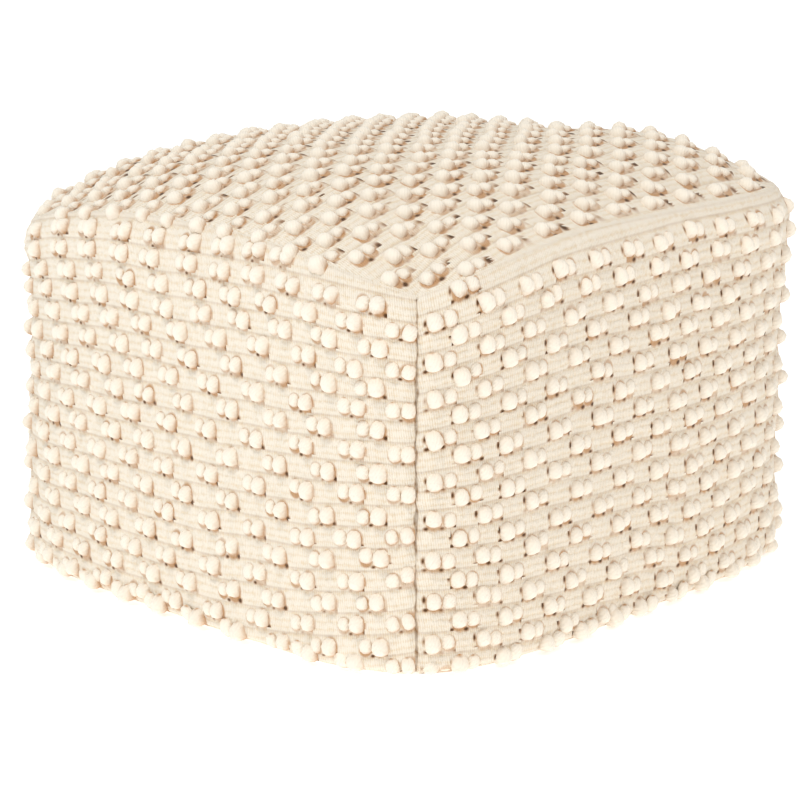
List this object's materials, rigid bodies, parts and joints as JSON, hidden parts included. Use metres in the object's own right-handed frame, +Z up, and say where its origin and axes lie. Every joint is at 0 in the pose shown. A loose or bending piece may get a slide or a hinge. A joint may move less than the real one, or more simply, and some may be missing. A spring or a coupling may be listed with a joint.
{
  "type": "pouf",
  "caption": "Square floor pouf in hand-woven ribbed cloth, softly filled, with a crowned top, stitched corner seams and a flat base.",
  "frame": {"origin": "on the surface it stands on, under the middle of the pouf", "axes": "+Z up; the sides face +X, -X, +Y and -Y, the picture's front corner is at +X -Y, and the top's ribs run along Y"},
  "size_m": [0.5212, 0.5212, 0.3575],
  "materials": {
    "woven_yarn": "matt, soft hand-woven yarn",
    "base_cloth": "matt plain weave"
  },
  "bodies": {
    "root": {"pouf_body": "woven_yarn", "base_panel": "base_cloth"}
  },
  "joints": []
}
